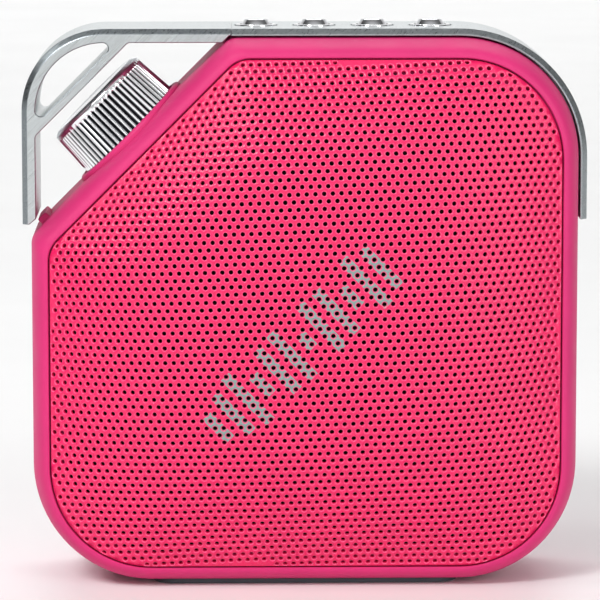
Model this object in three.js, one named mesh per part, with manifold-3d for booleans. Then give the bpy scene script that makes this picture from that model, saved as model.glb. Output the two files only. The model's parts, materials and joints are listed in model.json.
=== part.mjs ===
// A small splash-proof speaker: a pink case with one cut corner, a domed front grille, an aluminium
// band that becomes a hanging handle over the cut corner, a ribbed volume knob and four buttons.
// Millimetres, +Z up, the front faces -Y. The origin is on the ground, under the middle of the case.
import * as THREE from "three";
import { mergeVertices } from "three/addons/utils/BufferGeometryUtils.js";
import Module from "manifold-3d";

const wasm = await Module();
wasm.setup();

// ---------------------------------------------------------------- driving dimensions
// Heights in this file are measured from the middle of the case, unless a comment says otherwise.
const GAP = 0.3; // clearance kept between neighbouring pieces
const WALL = 2.2; // thickness of the moulded case
const OVERRUN = 5; // how far a cutting body runs past what it cuts
const ARC_STEPS = 6; // facets along each rounded corner
const SMALL_ARC_STEPS = 3; // the same on small pieces
const ROUND_STEPS = 24; // facets round a turned piece
const SMALL_ROUND_STEPS = 12; // the same on screws and stems

// The case seen from the front: a square with three round corners and one cut corner.
const BODY = 96;
const HALF = BODY / 2;
const CORNER_RADIUS = 21;
const CUT_DISTANCE = 43.2; // from the middle of the case to the cut corner's flat face
const CUT_BLEND = 3; // rounding at the two ends of the cut

// The case from front to back.
const CROWN_Y = -20.5; // top of the grille's dome
const RIM_Y = -12; // front lip of the bezel, and edge of the grille
const SIDE_Y = -4; // where the bezel has curved out to the full width
const PART_Y = -2.6; // joint between the front and rear shells
const BACK_Y = 20.5;
const BACK_ROUND = { inward: 6, deep: 7 };
const BEZEL = 2.9; // width of the bezel's curve
const OPENING = { inset: 3.15, blend: 5.5 }; // the opening that holds the grille
const GRILLE = { inset: OPENING.inset + GAP, blend: OPENING.blend - GAP, thickness: 0.8, power: 3.3 };
const BAFFLE = { front: -10.4, back: -8.4 };
const CLOTH = { inset: 6, front: -11, back: -10.7 };
const SEAL = { forward: 1.6, backward: 0.25, width: 1 }; // gasket astride the joint between the shells

// The aluminium band and handle.
const BAND = { front: -6, back: 14, inner: GAP, outer: 1.5, rightEnd: 16, chamfer: 0.9 };
const BAND_CORNER_RADIUS = CORNER_RADIUS + BAND.outer;
const FRAME_EDGE = HALF + BAND.outer; // outer face of the band, from the middle of the case
const HANDLE = { radius: 14.5, width: 2.4, legEnd: 15.3, tip: 1.2, tipLength: 1 };
const STRUT = { near: 55.1, far: 56.85, fillet: 1 }; // distances from the middle of the case
const HANDLE_END_X = -13; // where the handle gives way to the band over the case
const LUG = { along: 20.6, width: 2.4, proud: 1.2, depth: 10, root: 1.5 };

// Controls, all on the middle line of the band. On the knob's axis, distances are from the middle.
const CONTROL_Y = (BAND.front + BAND.back) / 2;
const KNOB = {
  base: 21.2,
  end: 20,
  face: 18.2,
  foot: 42.3,
  top: 52.6,
  edge: 0.9,
  ribs: 60,
  ribDepth: 0.4,
};
const KNOB_CAVITY = { diameter: 15, roof: 47.2 };
const COLLAR = { outer: 24.4, inner: 21.9, foot: 42.2, top: 43.95, pocket: 41.9, edge: 0.6 };
const SHAFT = { diameter: 5, from: 36.2, to: 49.6 };
const BUSH = { diameter: 9, top: 45.8 };
const ENCODER = { side: 12, from: 34.4, to: 40.6 };
const NUT = { diameter: 14, from: 43, to: 45 };
const KNOB_GASKET = { from: 42.2, to: 42.7 };
const BUTTON = {
  pitch: 10.25,
  middle: 6.9,
  cap: 5.2,
  crown: 3.8,
  stem: 3,
  top: 50.6,
  skirt: 48.9,
  flare: 49.7,
  stemFoot: 46.2,
};
const RING = { outer: 7.1, inner: 5.8, foot: 48.35, top: 49.75, edge: 0.2 };
const SWITCH = { side: 4.4, from: 42.8, to: 44.4 };
const STRIP = { overhang: 3, depth: 8 }; // button membrane and switch board
const MEMBRANE = { thickness: 0.6, middle: 45 };
const SWITCH_BOARD = { thickness: 1, middle: 42 };

// Base pad.
const PAD = { width: 54, depth: 24, proud: 0.5, thickness: 1.2 };

// Loudspeaker on the Y axis, as [radius, y] profiles, and its passive radiator beside it.
const DRIVER = { hole: 47, front: -8.1, back: 9.4, screwCircle: 25.2, flange: 1 };
const BASKET_PROFILE = [
  [27, -8.1],
  [27, -7.1],
  [22.6, -7.1],
  [14, 2.4],
  [8, 2.4],
  [8, 1.4],
  [13.4, 1.4],
  [21.6, -7.1],
  [21.6, -8.1],
];
const BASKET_WINDOW = { x: 18.5, y: -2, width: 9, height: 6 };
const MAGNET = { outer: 30, bore: 18, from: 4.4, to: 8 };
const TOP_PLATE = { outer: 26, bore: 15.4, from: 2.7, to: 4.1 };
const YOKE = { diameter: 28, from: 8.3, pole: 12.4, poleFrom: 1.6 };
const COIL = { outer: 14.2, inner: 13.2, from: -1.9, to: 4.6 };
const SPIDER = { outer: 25, inner: 14.8, from: 0.2, to: 0.7 };
const CONE_PROFILE = [
  [7.7, -1.6],
  [18.4, -7.2],
  [18.4, -7.7],
  [7.4, -2.3],
];
const DUST_CAP_PROFILE = [
  [0, -5.2],
  [3.5, -4.8],
  [7.1, -3.2],
  [7.1, -2.8],
  [3.4, -4.3],
  [0, -4.7],
];
const SURROUND_PROFILE = [
  [18.8, -7.8],
  [19.9, -8.6],
  [21.2, -7.8],
  [21.2, -7.3],
  [19.9, -8.1],
  [18.8, -7.3],
];
const DRIVER_SCREW = { shank: 2, head: 3.8, headHeight: 1 };
const RADIATOR = { x: 2, z: 6, hole: 42, plate: 26, front: 17.4, back: 18.9, steps: 32 };
const RADIATOR_RING = { outer: 48, thickness: 1.7 };
const ROLL_PROFILE = [
  [13.3, 17.6],
  [15, 17.6],
  [17, 19.2],
  [19, 17.6],
  [20.7, 17.6],
  [20.7, 17.1],
  [18.8, 17.1],
  [17, 18.6],
  [15.2, 17.1],
  [13.3, 17.1],
];

// Sockets in a moulded tray behind the back wall, under the flap.
const PORT = { x: 0, z: -33, width: 26, height: 9, floor: 13.5, wall: 1.5, corner: 3 };
const SOCKET_FRONT = PORT.floor - 0.2;
const USB = { x: -6, width: 8, height: 3, lip: 0.5, corner: 0.5 };
const AUX = { x: 6, diameter: 6, bore: 3.6 };
const FLAP = { thickness: 1.8, recess: 0.1 };
const BOARD = { width: 56, height: 18, front: 9.3, back: 10.5 };
const BATTERY = { width: 50, height: 13, z: -36, front: -5, back: 7, corner: 2.5 };

// Case screws, put in from the back.
const CASE_SCREWS = [
  [35, 35],
  [35, -35],
  [-35, -35],
  [-35, 3],
  [-3, 35],
];
const SCREW = { head: 5.2, shank: 2.4, headFrom: 18.6, headTo: 20, tip: -6.8, boss: 6.6, edge: 0.3 };
const SCREW_RECESS = { length: 2.8, width: 0.7, depth: 0.8 }; // the cross in a screw's head

const CENTRE_Z = HALF + PAD.proud; // height of the middle of the case above the ground
const BACK_WALL_Y = BACK_Y - WALL; // inside of the back wall

// ---------------------------------------------------------------- materials
const finish = (color, roughness, metalness) => ({ color, roughness, metalness });
const PINK = finish(0xf0397a, 0.45, 0);
const PINK_METAL = finish(0xf53a74, 0.4, 0.1);
const ALUMINIUM = finish(0xb9bfbf, 0.35, 1);
const CHROME = finish(0xe4e6e8, 0.08, 1);
const RUBBER = finish(0x4a5358, 0.85, 0);
const BLACK_RUBBER = finish(0x1b1b1d, 0.8, 0);
const BLACK_PLASTIC = finish(0x202225, 0.6, 0);
const FERRITE = finish(0x2c2d30, 0.7, 0);
const CLOTH_BLACK = finish(0x2a0614, 0.95, 0);
const STEEL = finish(0x9a9ea2, 0.35, 1);
const COPPER = finish(0xb8703a, 0.4, 1);
const BOARD_GREEN = finish(0x1f5a3a, 0.5, 0);
const PAPER = finish(0x2b2b2e, 0.9, 0);
const BATTERY_WRAP = finish(0x3a6ea5, 0.4, 0);

// ---------------------------------------------------------------- solids and meshes
function toSolid(geometry) {
  const bare = geometry.clone();
  bare.deleteAttribute("normal");
  bare.deleteAttribute("uv");
  const merged = mergeVertices(bare, 1e-4);
  return new wasm.Manifold(
    new wasm.Mesh({
      numProp: 3,
      vertProperties: new Float32Array(merged.attributes.position.array),
      triVerts: new Uint32Array(merged.index.array),
    }),
  );
}

function toGeometry(solid) {
  const mesh = solid.getMesh();
  const positions = new Float32Array(mesh.numVert * 3);
  for (let i = 0; i < mesh.numVert; i++) {
    const start = i * mesh.numProp;
    positions.set(mesh.vertProperties.subarray(start, start + 3), i * 3);
  }
  const geometry = new THREE.BufferGeometry();
  geometry.setAttribute("position", new THREE.BufferAttribute(positions, 3));
  geometry.setIndex(new THREE.BufferAttribute(mesh.triVerts, 1));
  geometry.computeVertexNormals();
  return geometry;
}

// The first geometry with every other one cut out of it.
function cut(geometry, ...tools) {
  const carved = tools.reduce((solid, tool) => solid.subtract(toSolid(tool)), toSolid(geometry));
  return toGeometry(carved);
}

function join(geometry, ...others) {
  const joined = others.reduce((solid, other) => solid.add(toSolid(other)), toSolid(geometry));
  return toGeometry(joined);
}

function common(geometry, other) {
  return toGeometry(toSolid(geometry).intersect(toSolid(other)));
}

const speaker = new THREE.Group();
const caseGroup = new THREE.Group(); // everything is placed from the middle of the case
caseGroup.position.z = CENTRE_Z;
speaker.add(caseGroup);

function piece(name, geometry, look, group = caseGroup) {
  const mesh = new THREE.Mesh(geometry, new THREE.MeshStandardMaterial(look));
  mesh.name = name;
  group.add(mesh);
}

// ---------------------------------------------------------------- outlines
// A closed outline through corners [x, y, radius], each rounded by its own radius.
function roundedShape(corners) {
  const shape = new THREE.Shape();
  corners.forEach(([x, y, radius], index) => {
    const before = corners[(index + corners.length - 1) % corners.length];
    const after = corners[(index + 1) % corners.length];
    const arriving = new THREE.Vector2(x - before[0], y - before[1]).normalize();
    const leaving = new THREE.Vector2(after[0] - x, after[1] - y).normalize();
    const turn = Math.atan2(arriving.cross(leaving), arriving.dot(leaving));
    const reach = radius * Math.tan(Math.abs(turn) / 2);
    const start = [x - arriving.x * reach, y - arriving.y * reach];
    if (index === 0) shape.moveTo(...start);
    else shape.lineTo(...start);
    if (radius > 0) {
      const side = Math.sign(turn); // 1 where the outline turns left
      const centre = [start[0] - side * arriving.y * radius, start[1] + side * arriving.x * radius];
      const from = Math.atan2(start[1] - centre[1], start[0] - centre[0]);
      shape.absarc(...centre, radius, from, from + turn, side < 0);
    }
  });
  shape.closePath();
  return shape;
}

// The case's outline moved inwards by inset, as x and z; cutRadius rounds the two ends of the cut.
function caseOutline(inset, cutRadius = Math.max(CUT_BLEND - inset, 1)) {
  const half = HALF - inset;
  const cutSum = (CUT_DISTANCE - inset) * Math.SQRT2; // z - x all along the cut
  const corner = Math.max(CORNER_RADIUS - inset, 1);
  return roundedShape([
    [half, -half, corner],
    [half, half, corner],
    [half - cutSum, half, cutRadius],
    [-half, cutSum - half, cutRadius],
    [-half, -half, corner],
  ]);
}

function rectangle(x, y, width, height, radius) {
  const [w, h] = [width / 2, height / 2];
  return roundedShape([
    [x - w, y - h, radius],
    [x + w, y - h, radius],
    [x + w, y + h, radius],
    [x - w, y + h, radius],
  ]);
}

// ---------------------------------------------------------------- basic bodies
// A shape drawn in x and z, extruded from yFront to yBack.
function plate(shape, yFront, yBack, curveSegments = ARC_STEPS) {
  const depth = yBack - yFront;
  const geometry = new THREE.ExtrudeGeometry(shape, { depth, bevelEnabled: false, curveSegments });
  return geometry.rotateX(Math.PI / 2).translate(0, yBack, 0);
}

// A plate whose two faces are smaller than its sides: the edges curve in, or are flat with 1 step.
function edgedPlate(faceShape, { inward, deep, steps = 3 }, yFront, yBack) {
  const geometry = new THREE.ExtrudeGeometry(faceShape, {
    depth: yBack - yFront - 2 * deep,
    bevelThickness: deep,
    bevelSize: inward,
    bevelSegments: steps,
    curveSegments: ARC_STEPS,
  });
  return geometry.rotateX(Math.PI / 2).translate(0, yBack - deep, 0);
}

function block(xSize, ySize, zSize, x, y, z) {
  return new THREE.BoxGeometry(xSize, ySize, zSize).translate(x, y, z);
}

// A turned body about the Y axis from [radius, y] points; a ring's points close on themselves.
function turned(points, segments = ROUND_STEPS, isRing = false) {
  const profile = points.map(([radius, y]) => new THREE.Vector2(radius, y));
  const area = profile.reduce((sum, point, index) => {
    const next = profile[(index + 1) % profile.length];
    return sum + point.x * next.y - next.x * point.y;
  }, 0);
  if (area < 0) profile.reverse();
  if (isRing) profile.push(profile[0].clone());
  return new THREE.LatheGeometry(profile, segments);
}

function disc(diameter, yFrom, yTo, segments = ROUND_STEPS) {
  const radius = diameter / 2;
  return turned([[0, yFrom], [radius, yFrom], [radius, yTo], [0, yTo]], segments);
}

function ring(outer, inner, yFrom, yTo, segments = ROUND_STEPS) {
  const [a, b] = [outer / 2, inner / 2];
  return turned([[b, yFrom], [a, yFrom], [a, yTo], [b, yTo]], segments, true);
}

// Stands a body turned about Y upright, its axis along Z at x, y.
function upright(geometry, x = 0, y = 0) {
  return geometry.rotateX(Math.PI / 2).translate(x, y, 0);
}

// ---------------------------------------------------------------- the knob's axis and the buttons' places
const KNOB_AXIS = new THREE.Vector3(-1, 0, 1).normalize(); // square to the cut face
const KNOB_TURN = new THREE.Quaternion().setFromUnitVectors(new THREE.Vector3(0, 1, 0), KNOB_AXIS);
const toKnobAxis = (geometry) => geometry.applyQuaternion(KNOB_TURN).translate(0, CONTROL_Y, 0);

const knobGroup = new THREE.Group();
knobGroup.quaternion.copy(KNOB_TURN);
knobGroup.position.y = CONTROL_Y;
caseGroup.add(knobGroup);

const BUTTON_NAMES = ["power", "previous", "play", "next"];
const buttonX = (index) => BUTTON.middle + (index - (BUTTON_NAMES.length - 1) / 2) * BUTTON.pitch;

// ---------------------------------------------------------------- case
function collarPocket() {
  return toKnobAxis(disc(COLLAR.outer + 2 * GAP, COLLAR.pocket, COLLAR.pocket + OVERRUN, 32));
}

// The pad lies flat, so its shape is drawn in x and y and extruded along z.
function padPlate(grow, zFrom, zTo) {
  const width = PAD.width + 2 * grow;
  const shape = rectangle(0, CONTROL_Y, width, PAD.depth + 2 * grow, grow);
  const options = { depth: zTo - zFrom, bevelEnabled: false, curveSegments: 2 };
  return new THREE.ExtrudeGeometry(shape, options).translate(0, 0, zFrom);
}

function padPocket() {
  const roof = PAD.thickness - PAD.proud + GAP;
  return padPlate(GAP, -HALF - OVERRUN, -HALF + roof);
}

// A rod through every screw's place.
function screwRods(diameter, yFrom, yTo) {
  return CASE_SCREWS.map(([x, z]) => disc(diameter, yFrom, yTo, SMALL_ROUND_STEPS).translate(x, 0, z));
}

function driverScrewPlaces() {
  return [45, 135, 225, 315].map((degrees) => {
    const angle = THREE.MathUtils.degToRad(degrees);
    return [DRIVER.screwCircle * Math.cos(angle), DRIVER.screwCircle * Math.sin(angle)];
  });
}

function driverScrewHoles(yFrom, yTo) {
  const diameter = DRIVER_SCREW.shank + 2 * GAP;
  return driverScrewPlaces().map(([x, z]) => disc(diameter, yFrom, yTo, 8).translate(x, 0, z));
}

function frontShell() {
  const bezelEdge = { inward: BEZEL, deep: SIDE_Y - RIM_Y };
  const outside = edgedPlate(caseOutline(BEZEL), bezelEdge, RIM_Y, BACK_Y + BODY);
  const forward = block(2 * BODY, BODY, 2 * BODY, 0, PART_Y - HALF, 0);
  const hollowed = cut(
    common(outside, forward),
    plate(caseOutline(OPENING.inset, OPENING.blend), RIM_Y - OVERRUN, BAFFLE.front),
    plate(caseOutline(WALL), BAFFLE.back, PART_Y + OVERRUN),
    disc(DRIVER.hole, BAFFLE.front - OVERRUN, BAFFLE.back + OVERRUN, 32),
  );
  return cut(
    join(hollowed, ...screwRods(SCREW.boss, BAFFLE.back - 1, PART_Y)),
    ...screwRods(SCREW.shank + 2 * GAP, SCREW.tip - GAP, PART_Y + OVERRUN),
    ...driverScrewHoles(BAFFLE.back - DRIVER_SCREW.headHeight - GAP, BAFFLE.back + OVERRUN),
    collarPocket(),
    padPocket(),
  );
}

function portShape(grow) {
  return rectangle(PORT.x, PORT.z, PORT.width + 2 * grow, PORT.height + 2 * grow, PORT.corner + grow);
}

function rearShell() {
  const outside = edgedPlate(caseOutline(BACK_ROUND.inward), BACK_ROUND, CROWN_Y - HALF, BACK_Y);
  const behind = block(2 * BODY, BODY, 2 * BODY, 0, PART_Y + GAP + HALF, 0);
  const hollowed = cut(
    common(outside, behind),
    plate(caseOutline(WALL), PART_Y - OVERRUN, BACK_Y - BACK_ROUND.deep),
    plate(caseOutline(BACK_ROUND.inward), PART_Y - OVERRUN, BACK_WALL_Y),
  );
  const inside = plate(caseOutline(WALL / 2), PART_Y + GAP, BACK_Y - WALL / 2);
  const [firstTube, ...otherTubes] = screwRods(SCREW.boss, PART_Y + GAP, BACK_Y);
  const tubes = common(join(firstTube, ...otherTubes), inside);
  const stemHoles = BUTTON_NAMES.map((_, index) => {
    const hole = disc(BUTTON.stem + 2 * GAP, HALF - 2 * WALL, HALF + OVERRUN, SMALL_ROUND_STEPS);
    return upright(hole, buttonX(index), CONTROL_Y);
  });
  const radiatorHole = disc(RADIATOR.hole, BACK_WALL_Y - OVERRUN, BACK_Y + OVERRUN, RADIATOR.steps);
  return cut(
    join(hollowed, tubes, lugBlock()),
    ...screwRods(SCREW.shank + 2 * GAP, PART_Y - OVERRUN, BACK_Y + OVERRUN),
    ...screwRods(SCREW.head + 2 * GAP, SCREW.headFrom - GAP, BACK_Y + OVERRUN),
    ...stemHoles,
    atRadiator(radiatorHole),
    plate(portShape(0), BACK_WALL_Y - OVERRUN, BACK_Y + OVERRUN, SMALL_ARC_STEPS),
    toKnobAxis(disc(BUSH.diameter + 2 * GAP, CUT_DISTANCE - OVERRUN, CUT_DISTANCE + OVERRUN, 20)),
    collarPocket(),
    padPocket(),
  );
}

// A small block on the cut face that the handle's leg stands against.
function lugBlock() {
  const height = LUG.proud + LUG.root;
  const middle = CUT_DISTANCE + (LUG.proud - LUG.root) / 2;
  return block(LUG.width, LUG.depth, height, -LUG.along, CONTROL_Y, middle).rotateY(-Math.PI / 4);
}

// A flexible gasket inside the joint between the shells.
function shellSeal() {
  const outer = WALL + GAP;
  const outside = plate(caseOutline(outer), PART_Y - SEAL.forward, PART_Y + SEAL.backward, 5);
  return cut(outside, plate(caseOutline(outer + SEAL.width), PART_Y - OVERRUN, PART_Y + OVERRUN, 5));
}

piece("front_shell", frontShell(), PINK);
piece("rear_shell", rearShell(), PINK);
piece("shell_seal", shellSeal(), BLACK_RUBBER);
piece("base_pad", padPlate(0, -HALF - PAD.proud, -HALF - PAD.proud + PAD.thickness), RUBBER);

// ---------------------------------------------------------------- grille
// How far the outline lies from the middle in the direction of angle.
function outlineReach(points, angle) {
  const [dx, dy] = [Math.cos(angle), Math.sin(angle)];
  for (let i = 0; i < points.length; i++) {
    const [a, b] = [points[i], points[(i + 1) % points.length]];
    const sideA = dx * a.y - dy * a.x;
    const sideB = dx * b.y - dy * b.x;
    if (sideA <= 0 && sideB > 0) {
      const share = sideA / (sideA - sideB);
      const reach = dx * (a.x + (b.x - a.x) * share) + dy * (a.y + (b.y - a.y) * share);
      if (reach > 0) return reach;
    }
  }
  throw new Error("the outline doesn't go round the middle");
}

// A turned unit disc whose circles grow from round in the middle to the case's outline at the rim.
function grilleDome() {
  const segments = 48;
  const shares = [0, 0.45, 0.7, 0.87, 1]; // places along the radius
  const domeY = (share) => RIM_Y + (CROWN_Y - RIM_Y) * (1 - share ** GRILLE.power);
  const outside = shares.map((share) => [share, domeY(share)]);
  const insideShare = 1 - GRILLE.thickness / 40; // keeps the sheet's thickness on the sloping edge
  const inside = shares.map((share) => [share * insideShare, domeY(share) + GRILLE.thickness]);
  const dome = turned([...outside, ...inside.reverse()], segments);
  const outline = caseOutline(GRILLE.inset, GRILLE.blend).getPoints(24);
  const middleReach = HALF - GRILLE.inset;
  const place = dome.attributes.position;
  for (let i = 0; i < place.count; i++) {
    const [x, y, z] = [place.getX(i), place.getY(i), place.getZ(i)];
    const share = Math.hypot(x, z);
    if (share > 1e-6) {
      const reach = outlineReach(outline, Math.atan2(z, x));
      const scale = middleReach + (reach - middleReach) * share ** 2;
      place.setXYZ(i, x * scale, y, z * scale);
    }
  }
  return dome;
}

piece("grille", grilleDome(), PINK_METAL);
piece("dust_cloth", plate(caseOutline(CLOTH.inset), CLOTH.front, CLOTH.back, 4), CLOTH_BLACK);

// ---------------------------------------------------------------- band and handle
// The outside of the band and handle as one block with chamfered edges.
function frameBlock() {
  const reach = FRAME_EDGE - BAND.chamfer;
  const faces = roundedShape([
    [reach, -BODY, 0],
    [reach, reach, BAND_CORNER_RADIUS - BAND.chamfer],
    [-reach, reach, HANDLE.radius - BAND.chamfer],
    [-reach, -BODY, 0],
  ]);
  return edgedPlate(faces, { inward: BAND.chamfer, deep: BAND.chamfer, steps: 1 }, BAND.front, BAND.back);
}

// An outline in x and z over the band's whole depth, with the chamfers taken off its outside.
function frameSlice(outline) {
  return common(plate(outline, BAND.front - 1, BAND.back + 1), frameBlock());
}

function topBand() {
  const inner = HALF + BAND.inner;
  const start = HANDLE_END_X + GAP;
  const path = roundedShape([
    [start, inner, 0],
    [inner, inner, CORNER_RADIUS + BAND.inner],
    [inner, BAND.rightEnd, 0],
    [FRAME_EDGE, BAND.rightEnd, 0],
    [FRAME_EDGE, FRAME_EDGE, BAND_CORNER_RADIUS],
    [start, FRAME_EDGE, 0],
  ]);
  const holes = BUTTON_NAMES.map((_, index) => {
    const hole = disc(RING.outer + 2 * GAP, HALF - OVERRUN, FRAME_EDGE + OVERRUN, 20);
    return upright(hole, buttonX(index), CONTROL_Y);
  });
  return cut(frameSlice(path), ...holes);
}

function handleFrame() {
  const inner = FRAME_EDGE - HANDLE.width;
  const near = STRUT.near * Math.SQRT2; // z - x along the strut's lower face
  const far = STRUT.far * Math.SQRT2; // and along its upper face
  const stop = (CUT_DISTANCE + GAP) * Math.SQRT2; // just clear of the cut face
  const top = HALF + BAND.inner;
  const tipX = -FRAME_EDGE + HANDLE.tip; // the leg's inner edge slopes up from its thinner tip
  const tipTop = HANDLE.legEnd + HANDLE.tipLength;
  const outline = roundedShape([
    [-FRAME_EDGE, HANDLE.legEnd, 0],
    [tipX, HANDLE.legEnd, 0],
    [-inner, tipTop, 0],
    [-inner, near - inner, STRUT.fillet],
    [inner - near, inner, STRUT.fillet],
    [inner - stop, inner, 0],
    [top - stop, top, 0],
    [HANDLE_END_X, top, 0],
    [HANDLE_END_X, FRAME_EDGE, 0],
    [-FRAME_EDGE, FRAME_EDGE, HANDLE.radius],
  ]);
  outline.holes.push(
    roundedShape([
      [-inner, far - inner, STRUT.fillet],
      [inner - far, inner, STRUT.fillet],
      [-inner, inner, HANDLE.radius - HANDLE.width],
    ]),
  );
  return frameSlice(outline);
}

piece("top_band", topBand(), ALUMINIUM);
piece("handle_frame", handleFrame(), ALUMINIUM);

// ---------------------------------------------------------------- volume knob and encoder
// Ribs run up the side: every second column of points is pressed in.
function knobBody() {
  const columns = 2 * KNOB.ribs;
  const body = turned(
    [
      [0, KNOB_CAVITY.roof],
      [KNOB_CAVITY.diameter / 2, KNOB_CAVITY.roof],
      [KNOB_CAVITY.diameter / 2, KNOB.foot],
      [KNOB.base / 2, KNOB.foot],
      [KNOB.end / 2, KNOB.top - KNOB.edge],
      [KNOB.face / 2, KNOB.top],
      [0, KNOB.top],
    ],
    columns,
  );
  const place = body.attributes.position;
  for (let i = 0; i < place.count; i++) {
    const [x, z] = [place.getX(i), place.getZ(i)];
    const radius = Math.hypot(x, z);
    const column = Math.round((Math.atan2(z, x) / (2 * Math.PI)) * columns);
    if (column % 2 !== 0 && radius > KNOB.face / 2 + GAP) {
      const pressed = (radius - KNOB.ribDepth) / radius;
      place.setX(i, x * pressed);
      place.setZ(i, z * pressed);
    }
  }
  const shaftHole = disc(SHAFT.diameter + 2 * GAP, KNOB_CAVITY.roof - 1, SHAFT.to + GAP, 16);
  return cut(body, shaftHole);
}

function encoderBody() {
  const height = ENCODER.to - ENCODER.from;
  const housing = block(ENCODER.side, height, ENCODER.side, 0, ENCODER.from + height / 2, 0);
  housing.rotateY(Math.PI / 4); // its sides lie along the cut and along the depth
  const bush = disc(BUSH.diameter, ENCODER.to - 1, BUSH.top, 20);
  const bore = disc(SHAFT.diameter + 2 * GAP, SHAFT.from - GAP, BUSH.top + 1, 16);
  return cut(join(housing, bush), bore);
}

function encoderNut() {
  const hexagon = disc(NUT.diameter, NUT.from, NUT.to, 6);
  return cut(hexagon, disc(BUSH.diameter + 2 * GAP, NUT.from - 1, NUT.to + 1, 20));
}

// The collar's outer edge is rounded off.
function collarRing() {
  const [outer, inner] = [COLLAR.outer / 2, COLLAR.inner / 2];
  return turned(
    [
      [inner, COLLAR.foot],
      [outer, COLLAR.foot],
      [outer, COLLAR.top - COLLAR.edge],
      [outer - COLLAR.edge, COLLAR.top],
      [inner, COLLAR.top],
    ],
    32,
    true,
  );
}

function encoderGasket() {
  return ring(NUT.diameter, BUSH.diameter + 2 * GAP, KNOB_GASKET.from, KNOB_GASKET.to, 20);
}

piece("knob_collar", collarRing(), PINK, knobGroup);
piece("volume_knob", knobBody(), CHROME, knobGroup);
piece("encoder_shaft", disc(SHAFT.diameter, SHAFT.from, SHAFT.to, 16), STEEL, knobGroup);
piece("encoder_body", encoderBody(), BLACK_PLASTIC, knobGroup);
piece("encoder_nut", encoderNut(), STEEL, knobGroup);
piece("encoder_gasket", encoderGasket(), BLACK_RUBBER, knobGroup);

// ---------------------------------------------------------------- buttons
function buttonCap() {
  return turned(
    [
      [0, BUTTON.stemFoot],
      [BUTTON.stem / 2, BUTTON.stemFoot],
      [BUTTON.stem / 2, BUTTON.skirt],
      [BUTTON.cap / 2, BUTTON.skirt],
      [BUTTON.cap / 2, BUTTON.flare],
      [BUTTON.crown / 2, BUTTON.top],
      [0, BUTTON.top],
    ],
    20,
  );
}

function buttonRing() {
  const [outer, inner] = [RING.outer / 2, RING.inner / 2];
  return turned(
    [
      [inner, RING.foot],
      [outer, RING.foot],
      [outer, RING.top - RING.edge],
      [outer - RING.edge, RING.top],
      [inner, RING.top],
    ],
    20,
    true,
  );
}

function tactSwitch(x) {
  const height = SWITCH.to - SWITCH.from;
  return block(SWITCH.side, SWITCH.side, height, x, CONTROL_Y, SWITCH.from + height / 2);
}

// A long flat piece under all four buttons.
function controlStrip({ thickness, middle }) {
  const length = BUTTON.pitch * (BUTTON_NAMES.length - 1) + 2 * STRIP.overhang;
  return block(length, STRIP.depth, thickness, BUTTON.middle, CONTROL_Y, middle);
}

BUTTON_NAMES.forEach((name, index) => {
  const x = buttonX(index);
  piece(`button_${name}`, upright(buttonCap(), x, CONTROL_Y), CHROME);
  piece(`button_ring_${index + 1}`, upright(buttonRing(), x, CONTROL_Y), CHROME);
  piece(`tact_switch_${index + 1}`, tactSwitch(x), BLACK_PLASTIC);
});
piece("button_membrane", controlStrip(MEMBRANE), BLACK_RUBBER);
piece("switch_board", controlStrip(SWITCH_BOARD), BOARD_GREEN);

// ---------------------------------------------------------------- loudspeaker
function driverBasket() {
  const windows = [0, 90, 180, 270].map((degrees) => {
    const { x, y, width, height } = BASKET_WINDOW;
    return block(width, height, width, x, y, 0).rotateY(THREE.MathUtils.degToRad(degrees));
  });
  const holes = driverScrewHoles(DRIVER.front - 1, DRIVER.front + DRIVER.flange + 1);
  return cut(turned(BASKET_PROFILE, ROUND_STEPS, true), ...windows, ...holes);
}

function driverYoke() {
  const pole = disc(YOKE.pole, YOKE.poleFrom, YOKE.from + GAP);
  return join(disc(YOKE.diameter, YOKE.from, DRIVER.back), pole);
}

function driverScrew() {
  const tip = BAFFLE.back - 1;
  const underHead = DRIVER.front + DRIVER.flange + GAP;
  const top = underHead + DRIVER_SCREW.headHeight;
  const [shank, head] = [DRIVER_SCREW.shank / 2, DRIVER_SCREW.head / 2];
  return turned(
    [
      [0, tip],
      [shank, tip],
      [shank, underHead],
      [head, underHead],
      [head, top],
      [0, top],
    ],
    SMALL_ROUND_STEPS,
  );
}

piece("driver_basket", driverBasket(), STEEL);
piece("driver_magnet", ring(MAGNET.outer, MAGNET.bore, MAGNET.from, MAGNET.to), FERRITE);
piece("driver_top_plate", ring(TOP_PLATE.outer, TOP_PLATE.bore, TOP_PLATE.from, TOP_PLATE.to), STEEL);
piece("driver_yoke", driverYoke(), STEEL);
piece("driver_cone", turned(CONE_PROFILE, ROUND_STEPS, true), PAPER);
piece("dust_cap", turned(DUST_CAP_PROFILE), BLACK_PLASTIC);
piece("voice_coil", ring(COIL.outer, COIL.inner, COIL.from, COIL.to), COPPER);
piece("driver_surround", turned(SURROUND_PROFILE, ROUND_STEPS, true), BLACK_RUBBER);
piece("driver_spider", ring(SPIDER.outer, SPIDER.inner, SPIDER.from, SPIDER.to), CLOTH_BLACK);
driverScrewPlaces().forEach(([x, z], index) => {
  piece(`driver_screw_${index + 1}`, driverScrew().translate(x, 0, z), STEEL);
});

// ---------------------------------------------------------------- passive radiator
function atRadiator(geometry) {
  return geometry.translate(RADIATOR.x, 0, RADIATOR.z);
}

function radiatorPlate() {
  return atRadiator(disc(RADIATOR.plate, RADIATOR.front, RADIATOR.back, RADIATOR.steps));
}

function radiatorRing() {
  const back = BACK_WALL_Y - GAP;
  return atRadiator(ring(RADIATOR_RING.outer, RADIATOR.hole, back - RADIATOR_RING.thickness, back));
}

piece("radiator_plate", radiatorPlate(), ALUMINIUM);
piece("radiator_surround", atRadiator(turned(ROLL_PROFILE, RADIATOR.steps, true)), BLACK_RUBBER);
piece("radiator_ring", radiatorRing(), BLACK_PLASTIC);

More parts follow.
